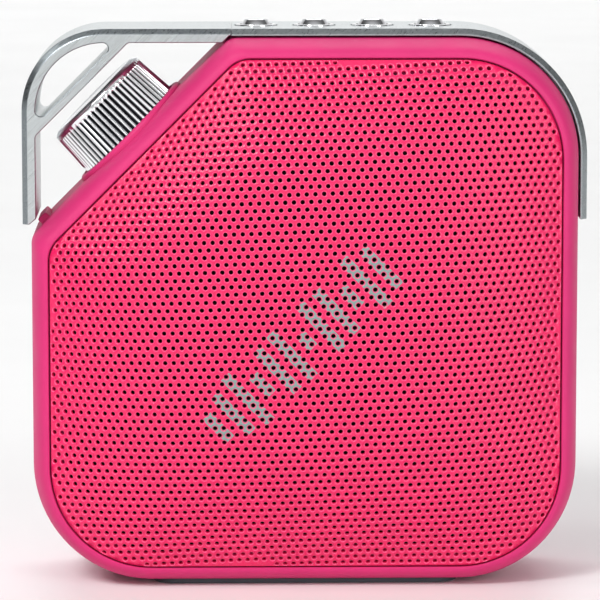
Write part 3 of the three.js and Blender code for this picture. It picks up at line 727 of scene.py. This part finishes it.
def rear_case():
    """The rear shell with its rounded back, the radiator's hole, the socket hole and the screw wells."""
    body = Body()
    front_y = rear_low.y
    sides = body.rings((case_outline(EDGE), front_y), (case_outline(0), front_y + EDGE))
    for angle in quarter_turn(12):
        inset = BACK_ROUND["inward"] * (1 - math.cos(angle))
        y = BACK_Y - BACK_ROUND["deep"] * (1 - math.sin(angle))
        sides.append(body.ring(case_outline(inset, CUT_BLEND), y))
    ledge_y = BACK_Y - BACK_ROUND["deep"]
    recess, walls = case_outline(BACK_ROUND["inward"]), case_outline(WALL)
    inside = body.rings((recess, BACK_WALL_Y), (recess, ledge_y), (walls, ledge_y), (walls, front_y))
    through = ((EDGE, BACK_Y), (0, BACK_Y - EDGE), (0, BACK_WALL_Y))
    port = rectangle(0, PORT_Z, PORT["width"], PORT["height"], PORT["corner"])
    x, _, z = radiator_centre
    openings = [
        sized_rings(body, lambda grow: circle(RADIATOR_HOLE + grow, x, z), *through),
        sized_rings(body, lambda grow: rounded(port, -grow), *through),
    ]
    wells = []
    for number in SCREW_NUMBERS:
        x, _, z = centre_of(f"case_screw_{number}")
        levels = ((EDGE, BACK_Y), (0, BACK_Y - EDGE), (0, SCREW["floor"]))
        wells.append(sized_rings(body, lambda grow: circle(SCREW["well"] + grow, x, z, TINY_TURN), *levels))
    body.skin(*sides)
    body.fill(sides[-1], *(rings[0] for rings in openings + wells))
    for rings in openings + wells:
        body.skin(*rings)
    for rings in wells:
        body.fill(rings[-1])
    body.fill(inside[0], *(rings[-1] for rings in openings))
    body.skin(*inside, sides[0])
    body.make("rear_case", "pink_shell", replaces=["rear_shell"], cutter=control_holes())


def collar():
    """The raised ring round the knob's foot."""
    radius = COLLAR["edge"]
    profile = [(COLLAR["inner"], COLLAR["foot"]), (COLLAR["inner"], COLLAR["top"])]
    for angle in quarter_turn(6):
        out = COLLAR["outer"] - radius * (1 - math.sin(angle))
        profile.append((out, COLLAR["top"] - radius * (1 - math.cos(angle))))
    profile.append((COLLAR["outer"], COLLAR["foot"]))
    ring = turned(profile, FINE_TURN, closed=True)
    ring.make("collar", "pink_shell", replaces=["knob_collar"], place=ON_THE_CUT)


def lug():
    """The small block that the handle's leg stands against."""
    loop = rectangle(LUG["along"], 0, LUG["width"], LUG["depth"], LUG["corner"])
    layers = soft_layers(LUG["root"], LUG["top"], LUG["edge"])
    slab(loop, layers).make("handle_lug", "pink_shell", place=ON_THE_CUT)


def base_pad():
    """The rubber strip that the speaker stands on."""
    loop = rectangle(0, 0, pad_high.x - pad_low.x, pad_high.y - pad_low.y, PAD["corner"])
    layers = soft_layers(pad_low.z, pad_high.z, PAD["edge"])
    slab(loop, layers).make("foot_pad", "pad_rubber", replaces=["base_pad"], place=UPRIGHT)


front_case()
rear_case()
collar()
lug()
base_pad()


# ---- grille
GRILLE_OUTLINE = np.array(case_outline(GRILLE_INSET, OPENING["blend"] - GAP, steps=32))


def reach(angles):
    """How far the grille's outline lies from the middle, in the direction of each angle."""
    turns = np.unwrap(np.arctan2(GRILLE_OUTLINE[:, 1], GRILLE_OUTLINE[:, 0]))
    sides = np.searchsorted(turns, turns[0] + np.mod(angles - turns[0], 2 * np.pi), side="right") - 1
    start = GRILLE_OUTLINE[sides]
    side = GRILLE_OUTLINE[(sides + 1) % len(GRILLE_OUTLINE)] - start
    above = start[:, 0] * side[:, 1] - start[:, 1] * side[:, 0]
    below = np.cos(angles) * side[:, 1] - np.sin(angles) * side[:, 0]
    return above / below


def drawn(flat, margin=0.0):
    """Places of points of the flat sheet once it has been drawn into the dome, and which of them fit.

    Lengths along the sheet are kept on every line from the middle to the rim. Points nearer to the rim
    than the margin don't fit and are brought back.
    """
    samples = 97
    shares = np.linspace(0, 1, samples)
    angles = np.arctan2(flat[:, 1], flat[:, 0])
    lengths = np.hypot(flat[:, 0], flat[:, 1])
    middle_reach = HALF - GRILLE_INSET
    ends = reach(angles)[:, None]
    plan = shares * (middle_reach + (ends - middle_reach) * shares**2)
    depth = RIM_Y + (CROWN_Y - RIM_Y) * (1 - shares**DOME_POWER)
    steps = np.hypot(np.diff(plan, axis=1), np.diff(depth))
    travelled = np.concatenate([np.zeros((len(flat), 1)), np.cumsum(steps, axis=1)], axis=1)
    longest = travelled[:, -1] - margin
    fits = lengths < longest
    lengths = np.minimum(lengths, longest)
    before = np.clip((travelled < lengths[:, None]).sum(axis=1) - 1, 0, samples - 2)
    rows = np.arange(len(flat))
    gained = travelled[rows, before + 1] - travelled[rows, before]
    part = (lengths - travelled[rows, before]) / gained
    radius = plan[rows, before] + part * (plan[rows, before + 1] - plan[rows, before])
    y = depth[before] + part * (depth[before + 1] - depth[before])
    return np.stack([radius * np.cos(angles), y, radius * np.sin(angles)], axis=1), fits


def hole_centres():
    """Centres of the holes on the flat sheet, in rows that lean by HOLE_TURN."""
    extent = math.ceil(1.3 * HALF / HOLE_PITCH)  # past the rim on every side
    centres = []
    for row in range(-extent, extent + 1):
        for column in range(-extent, extent + 1):
            across = (column + (row % 2) / 2) * HOLE_PITCH
            up = row * HOLE_PITCH * math.sqrt(3) / 2
            x = across * math.cos(HOLE_TURN) - up * math.sin(HOLE_TURN)
            z = across * math.sin(HOLE_TURN) + up * math.cos(HOLE_TURN)
            centres.append((x, z))
    return np.array(centres)


def inward(centres):
    """The direction into the case, square to the dome, at each centre."""
    nudge = 0.05
    here, _ = drawn(centres)
    across, _ = drawn(centres + (nudge, 0))
    up, _ = drawn(centres + (0, nudge))
    normal = np.cross(across - here, up - here)
    normal *= np.sign(normal[:, 1:2])
    return normal / np.linalg.norm(normal, axis=1, keepdims=True)


def mark_dishes(piece, first, count):
    """Marks the sloping faces round count holes, for the painted highlight in the grille's look.

    The holes' faces follow each other from number first, the slope before the bore.
    """
    sides = HOLE["sides"]
    values = [0.0] * len(piece.data.polygons)
    for hole in range(count):
        start = first + 2 * sides * hole
        values[start : start + sides] = [1.0] * sides
    marks = piece.data.attributes.new("dish", "FLOAT", "FACE")
    marks.data.foreach_set("value", values)


def perforated_grille():
    """The domed sheet with its dished holes, and the skirt that runs back into the case."""
    sides = HOLE["sides"]
    turns = np.arange(sides) * 2 * np.pi / sides
    around = np.stack([np.cos(turns), np.sin(turns)], axis=1)
    centres = hole_centres()
    _, fits = drawn(centres, RIM_MARGIN["centre"])
    centres = centres[fits]
    count = len(centres)

    def ring_of(size):
        placed, _ = drawn((centres[:, None, :] + HOLE[size] * around).reshape(-1, 2), RIM_MARGIN[size])
        return placed

    into = np.repeat(inward(centres), sides, axis=0)
    edge = ring_of("edge")
    bore = ring_of("bore")
    dished = bore + into * HOLE["dish"]
    behind = bore + into * HOLE["thickness"]
    rim = np.insert(GRILLE_OUTLINE, 1, RIM_Y, axis=1)
    skirt = np.insert(GRILLE_OUTLINE, 1, SKIRT_Y, axis=1)

    body = Body()
    body.points = np.concatenate([edge, rim, dished, behind, skirt]).tolist()
    sheet_points = len(edge) + len(rim)
    loops = [[k * sides + i for i in range(sides)] for k in range(count)]
    rim_loop = [len(edge) + i for i in range(len(rim))]
    flat = [Vector((x, z)) for x, _, z in body.points[:sheet_points]]
    seams = [(loop[i], loop[i - 1]) for loop in (*loops, rim_loop) for i in range(len(loop))]
    _, _, triangles, sources, _, _ = delaunay_2d_cdt(flat, seams, [], 1, 1e-6)
    # A triangle with all its corners on one hole lies inside the hole.
    for triangle in triangles:
        numbers = [sources[i][0] for i in triangle]
        owners = {n // sides if n < len(edge) else -1 for n in numbers}
        if len(owners) > 1 or owners == {-1}:
            body.faces.append(tuple(numbers))
    sheet_faces = len(body.faces)
    for loop in loops:
        inner = [sheet_points + i for i in loop]
        last = [sheet_points + len(edge) + i for i in loop]
        body.skin(loop, inner, last)
    body.skin(rim_loop, [sheet_points + 2 * len(edge) + i for i in range(len(rim))])
    piece = body.make("perforated_grille", "grille_metal", replaces=["grille"], sharp=80)
    mark_dishes(piece, sheet_faces, count)


perforated_grille()


# ---- band and handle
def chamfered_layers():
    """(y, outer inset, inner inset) from the front of the band to its back."""
    chamfer = [
        (0, CHAMFER + SOFTENING, INNER_BEVEL),
        (SOFTENING, CHAMFER - SOFTENING, INNER_BEVEL - SOFTENING),
        (INNER_BEVEL, CHAMFER - INNER_BEVEL, 0),
        (CHAMFER - SOFTENING, SOFTENING, 0),
        (CHAMFER + SOFTENING, 0, 0),
    ]
    front = [(band_low.y + depth, outer, inner) for depth, outer, inner in chamfer]
    back = [(band_high.y - depth, outer, inner) for depth, outer, inner in reversed(chamfer)]
    return front + back


def handle():
    """The loop over the cut corner, with the strut that closes its D-shaped eye."""
    inner = FRAME_EDGE - HANDLE["width"]
    near = STRUT["near"] * math.sqrt(2)
    far = STRUT["far"] * math.sqrt(2)
    stop = (CUT_DISTANCE + GAP) * math.sqrt(2)
    foot = handle_low.z
    outline = [
        (-FRAME_EDGE, foot, 0),
        (-FRAME_EDGE + HANDLE["tip"], foot, 0),
        (-inner, foot + HANDLE["tip_length"], 0),
        (-inner, near - inner, STRUT["fillet"]),
        (inner - near, inner, STRUT["fillet"]),
        (inner - stop, inner, 0),
        (BAND_INNER - stop, BAND_INNER, 0),
        (handle_high.x + JOINT, BAND_INNER, 0),
        (handle_high.x + JOINT, FRAME_EDGE, 0),
        (-FRAME_EDGE, FRAME_EDGE, HANDLE["radius"]),
    ]
    outer_sides = (8, 9)
    eye = [
        (-inner, inner, HANDLE["radius"] - HANDLE["width"]),
        (inner - far, inner, STRUT["fillet"]),
        (-inner, far - inner, STRUT["fillet"]),
    ]
    body = Body()
    levels = []
    for y, outer_inset, inner_inset in chamfered_layers():
        insets = [outer_inset if side in outer_sides else inner_inset for side in range(len(outline))]
        levels.append((body.ring(rounded(outline, insets), y), body.ring(rounded(eye, inner_inset), y)))
    for column in zip(*levels):
        body.skin(*column)
    body.fill(*levels[0])
    body.fill(*levels[-1])
    piece = body.make("handle", "aluminium_frame", replaces=["handle_frame"], sharp=20)
    mark_chamfers(piece, squarest=0.95, amount=1.0)


def band_strip():
    """The band's section, drawn along the top of the case and round its corner."""
    thickness = FRAME_EDGE - BAND_INNER
    section = [
        (0, band_low.y, LEAST_RADIUS),
        (thickness - CHAMFER, band_low.y, SOFTENING),
        (thickness, band_low.y + CHAMFER, SOFTENING),
        (thickness, band_high.y - CHAMFER, SOFTENING),
        (thickness - CHAMFER, band_high.y, SOFTENING),
        (0, band_high.y, LEAST_RADIUS),
        (0, band_high.y - SEAT["from_edge"], LEAST_RADIUS),
        (-SEAT["proud"], band_high.y - SEAT["from_edge"], LEAST_RADIUS),
        (-SEAT["proud"], band_low.y + SEAT["from_edge"], LEAST_RADIUS),
        (0, band_low.y + SEAT["from_edge"], LEAST_RADIUS),
    ]
    centre = HALF - CORNER_RADIUS
    radius = BAND_INNER - centre
    start = band_low.x - JOINT
    stations = [((start, BAND_INNER), (0, 1), SOFTENING), ((start + SOFTENING, BAND_INNER), (0, 1), 0)]
    for turn in reversed(quarter_turn(40)):
        out = (math.cos(turn), math.sin(turn))
        stations.append(((centre + radius * out[0], centre + radius * out[1]), out, 0))
    stations.append(((BAND_INNER, band_low.z + SOFTENING), (1, 0), 0))
    stations.append(((BAND_INNER, band_low.z), (1, 0), SOFTENING))
    body = Body()
    rings = []
    for (x, z), (out_x, out_z), inset in stations:
        first = len(body.points)
        for rise, y in rounded(section, inset, steps=6):
            body.points.append((x + out_x * rise, y, z + out_z * rise))
        rings.append(list(range(first, len(body.points))))
    body.skin(*rings)
    body.fill(rings[0])
    body.fill(rings[-1])
    return body


def band():
    """The strip over the top of the case, with a round hole for each button."""
    holes = Body()
    hole = (RING_RADIUS + GAP, HALF - OVERRUN, FRAME_EDGE + OVERRUN)
    for x in BUTTON_PLACES:
        holes.add(rod(*hole, TURN), at_button(x))
    piece = band_strip().make("band", "aluminium_frame", replaces=["top_band"], sharp=20, cutter=holes)
    mark_chamfers(piece, squarest=1.0, amount=0.7)


handle()
band()


# ---- knob and buttons
def ribbed(radius, depth, steps):
    """A circle whose radius dips by depth between the ribs."""
    outline = []
    for i in range(steps):
        angle = 2 * math.pi * i / steps
        dip = depth * (0.5 - 0.5 * math.cos(RIBS["count"] * angle))
        outline.append(((radius - dip) * math.cos(angle), (radius - dip) * math.sin(angle)))
    return outline


def knob():
    """The hollow knob, with ribs round its side and a raised border round its face."""
    steps = RIBS["count"] * RIBS["samples"]
    foot, depth, end, face, top = KNOB["foot"], RIBS["depth"], KNOB["end"], KNOB["face"], KNOB["top"]
    shoulder = top - KNOB_SHOULDER["down"]
    border = face - KNOB_FACE["border"]
    levels = [
        (KNOB_CAVITY["radius"], KNOB_CAVITY["roof"], 0),
        (KNOB_CAVITY["radius"], foot, 0),
        (KNOB["base"] - depth - KNOB["foot_edge"], foot, 0),
        (KNOB["base"], foot + RIBS["start"], depth),
        (end, RIBS["stop"], depth),
        (end, RIBS["stop"] + RIBS["fade"], 0),
        (end, shoulder, 0),
        (end - KNOB_SHOULDER["inward"], shoulder + KNOB_SHOULDER["rise"], 0),
        (face + 2 * KNOB_FACE["edge"], top - KNOB_FACE["edge"], 0),
        (face, top, 0),
        (border, top, 0),
        (border - KNOB_FACE["slope"], top - KNOB_FACE["down"], 0),
    ]
    body = Body()
    rings = [body.ring(ribbed(radius, dip, steps), a) for radius, a, dip in levels]
    roof_centre = body.ring([(0, 0)], KNOB_CAVITY["roof"])
    face_centre = body.ring([(0, 0)], top - KNOB_FACE["dish"])
    body.skin(roof_centre, *rings, face_centre)
    piece = body.make("ribbed_knob", "knob_chrome", "knob", ["volume_knob"], ON_THE_CUT, sharp=50)
    # How deep each point lies in a groove, for the painted shade in the knob's look.
    groove = piece.data.attributes.new("groove", "FLOAT", "POINT")
    dips = [0.0] * len(body.points)
    for ring, (_, _, dip) in zip(rings, levels):
        for i, number in enumerate(ring):
            share = 0.5 - 0.5 * math.cos(2 * math.pi * i / RIBS["samples"])
            dips[number] = share if dip else 0.0
    groove.data.foreach_set("value", dips)


def button(name, x):
    """A button's cap, which tapers to a slightly dished crown, and its stem."""
    top, crown = cap_high.z, CROWN["radius"]
    underside = top - CAP["height"]
    shoulder = underside + CAP["edge"] + CAP["flank"]
    profile = [
        (0, cap_low.z),
        (BUTTON_STEM, cap_low.z),
        (BUTTON_STEM, underside),
        (CAP_RADIUS - CAP["edge"], underside),
        (CAP_RADIUS, underside + CAP["edge"]),
        (CAP_RADIUS, shoulder),
        (CAP_RADIUS - CAP["shoulder"], shoulder + CAP["rise"]),
        (crown + CROWN["edge"], top - CROWN["dish"]),
        (crown, top),
        (crown - CROWN["border"], top),
        (0, top - CROWN["dish"]),
    ]
    cap = turned(profile, SMALL_TURN)
    cap.make(f"cap_{name}", "button_chrome", f"button_{name}", [f"button_{name}"], at_button(x))


def trim_ring(number, x):
    """The ring round a button, with a rounded outer edge."""
    bore, outer, crest, foot = RING["bore"], RING_RADIUS, ring_high.z, ring_low.z
    across, down = RING["soften"]
    profile = [
        (bore, foot),
        (outer, foot),
        (outer, crest - RING["edge"]),
        (outer - across, crest - down),
        (outer - RING["edge"], crest),
        (bore + RING["inner_edge"], crest),
        (bore, crest - RING["inner_edge"]),
    ]
    ring = turned(profile, SMALL_TURN, closed=True)
    ring.make(f"trim_ring_{number}", "button_chrome", "case", [f"button_ring_{number}"], at_button(x))


knob()
for button_number, (button_name, button_x) in enumerate(zip(BUTTONS, BUTTON_PLACES), start=1):
    button(button_name, button_x)
    trim_ring(button_number, button_x)


# ---- back
def radiator():
    """The passive radiator: a turned plate in a rubber roll."""
    place = Matrix.Translation((radiator_centre.x, 0, radiator_centre.z))
    back, edge = radiator_high.y, PLATE["edge"]
    border = PLATE_RADIUS - PLATE["border"]
    profile = [
        (0, radiator_low.y),
        (PLATE_RADIUS, radiator_low.y),
        (PLATE_RADIUS, back - edge),
        (PLATE_RADIUS - PLATE["soften"], back - PLATE["soften"]),
        (PLATE_RADIUS - edge, back),
        (border, back),
        (border - PLATE["slope"], back - edge),
        (0, back - PLATE["dish"]),
    ]
    plate = turned(profile, FINE_TURN)
    plate.make("radiator_disc", "aluminium_frame", "radiator", ["radiator_plate"], place)
    steps = 14
    swell, height, crest, y = ROLL["swell"], ROLL["squash"] * ROLL["swell"], ROLL["crest"], ROLL["y"]
    outside = [(ROLL["inner"], y)]
    for i in range(steps + 1):
        angle = math.pi * (1 - i / steps)
        outside.append((crest + swell * math.cos(angle), y + height * math.sin(angle)))
    outside.append((ROLL["outer"], y))
    inside = [(radius, rise - ROLL["thickness"]) for radius, rise in reversed(outside)]
    roll = turned(outside + inside, FINE_TURN, closed=True)
    roll.make("radiator_roll", "black_rubber", "case", ["radiator_surround"], place)


def flap():
    """The rubber cover over the sockets."""
    width, height = flap_high.x - flap_low.x, flap_high.z - flap_low.z
    loop = rectangle(0, PORT_Z, width, height, PORT["corner"] - GAP)
    layers = soft_layers(flap_low.y, flap_high.y - GRIP["proud"], FLAP_EDGE)
    slab(loop, layers).make("rubber_flap", "pad_rubber", "flap", ["port_flap"])


def flap_grip():
    """The raised grip at the cover's free end."""
    place = (flap_high.x - GRIP["from_end"], PORT_Z)
    loop = rectangle(*place, GRIP["width"], GRIP["height"], GRIP["corner"])
    layers = soft_layers(flap_high.y - GRIP["depth"], flap_high.y, GRIP["edge"])
    slab(loop, layers).make("flap_grip", "pad_rubber", "flap")


def screw(number):
    """A screw's head with its cross."""
    node = f"case_screw_{number}"
    x, _, z = centre_of(node)
    reach_out, w = SCREW_CROSS["reach"], SCREW_CROSS["half_width"]
    quarter = [(reach_out, w), (w, w), (w, reach_out)]
    cross = []
    for c, s in ((1, 0), (0, 1), (-1, 0), (0, -1)):
        cross += [(x + c * a - s * b, z + s * a + c * b) for a, b in quarter]
    radius, top, edge = SCREW["head"], SCREW["top"], SCREW["edge"]
    levels = [
        (radius, SCREW["under"]),
        (radius, top - edge),
        (radius - edge / 2, top - SCREW["soften"]),
        (radius - edge, top),
    ]
    body = Body()
    head = sized_rings(body, lambda size: circle(size, x, z, TINY_TURN), *levels)
    recess = body.rings((cross, top), (cross, top - SCREW_CROSS["depth"]))
    body.fill(head[0])
    body.skin(*head)
    body.fill(head[-1], recess[0])
    body.skin(*recess)
    body.fill(recess[1])
    body.make(f"screw_head_{number}", "steel", "case", [node])


radiator()
flap()
flap_grip()
for screw_number in SCREW_NUMBERS:
    screw(screw_number)


# ---- stage, lights and camera
def stage_floor():
    """A pale floor that curves up into a backdrop behind the speaker."""
    width, front, start, bend, height = 24.0, -12.0, 2.2, 1.0, 4
    profile = [(front, 0)]
    for angle in quarter_turn(16):
        profile.append((start + bend * math.sin(angle), bend * (1 - math.cos(angle))))
    profile.append((start + bend, height))
    points = [(side * width / 2, y, z) for y, z in profile for side in (-1, 1)]
    faces = [(2 * i, 2 * i + 1, 2 * i + 3, 2 * i + 2) for i in range(len(profile) - 1)]
    mesh = bpy.data.meshes.new("floor")
    mesh.from_pydata(points, [], faces)
    mesh.shade_smooth()
    look = Look("floor", (0.86, 0.86, 0.86), 0.6)
    look.shade(look.noise(60, 3), 0.02)
    look.relief(look.noise(0.8, 2), 0.01)
    mesh.materials.append(look.material)
    floor = bpy.data.objects.new("floor", mesh)
    bpy.context.scene.collection.objects.link(floor)


def softbox(name, place, aim, size, power):
    """An area light at place, pointed at aim, both in metres."""
    lamp = bpy.data.lights.new(name, "AREA")
    lamp.shape = "RECTANGLE"
    lamp.size, lamp.size_y = size
    lamp.energy = power
    light = bpy.data.objects.new(name, lamp)
    light.location = place
    light.rotation_euler = (Vector(aim) - Vector(place)).to_track_quat("-Z", "Y").to_euler()
    bpy.context.scene.collection.objects.link(light)


def world():
    """Pale surroundings, brightest overhead and in front of the speaker and dim on its left."""
    behind, ahead, overhead, left = 0.12, 0.66, 1.3, 0.2
    surroundings = bpy.data.worlds.new("studio")
    surroundings.use_nodes = True
    nodes = Nodes(surroundings.node_tree)
    direction = nodes.add("ShaderNodeSeparateXYZ")
    nodes.join(nodes.add("ShaderNodeTexCoord").outputs["Generated"], direction.inputs[0])
    strength = 1.0
    for axis, start, end, from_strength, to_strength in (
        ("Y", 0.2, -0.9, behind, ahead),
        ("Z", 0.5, 0.9, 1, overhead),
        ("X", -0.4, -0.9, 1, left),
    ):
        across = direction.outputs[axis]
        share = nodes.spread(across, start, end, from_strength, to_strength, "SMOOTHSTEP")
        strength = nodes.combine("MULTIPLY", share, strength)
    background = nodes.tree.nodes["Background"]
    nodes.join(strength, background.inputs["Strength"])
    background.inputs["Color"].default_value = (1, 1, 1, 1)
    bpy.context.scene.world = surroundings


def camera():
    """A long lens, a little above the speaker and to its left."""
    distance, elevation, azimuth = 0.7, math.radians(8.13), math.radians(-1.17)
    level = math.cos(elevation)
    away = Vector((math.sin(azimuth) * level, -math.cos(azimuth) * level, math.sin(elevation)))
    data = bpy.data.cameras.new("camera")
    data.sensor_width = 36
    data.lens = 236.8
    data.shift_x, data.shift_y = -0.0073, 0.0093
    data.clip_start, data.clip_end = 0.01, 20
    view = bpy.data.objects.new("camera", data)
    view.location = MIDDLE + away * distance
    view.rotation_euler = (-away).to_track_quat("-Z", "Y").to_euler()
    bpy.context.scene.collection.objects.link(view)
    bpy.context.scene.camera = view


stage_floor()
world()
softbox("key", (-0.55, -0.85, 0.95), MIDDLE, (0.4, 0.4), 10.5)
softbox("edge", (-1.0, -0.3, 0.95), MIDDLE, (0.3, 0.3), 3)
softbox("fill", (0.9, -1.1, 0.5), MIDDLE, (0.5, 0.8), 6)
softbox("backdrop", (0, 1.6, 2.4), (0, 2.2, 0), (2.5, 1.0), 42)
camera()
bpy.context.scene.view_settings.view_transform = "Standard"
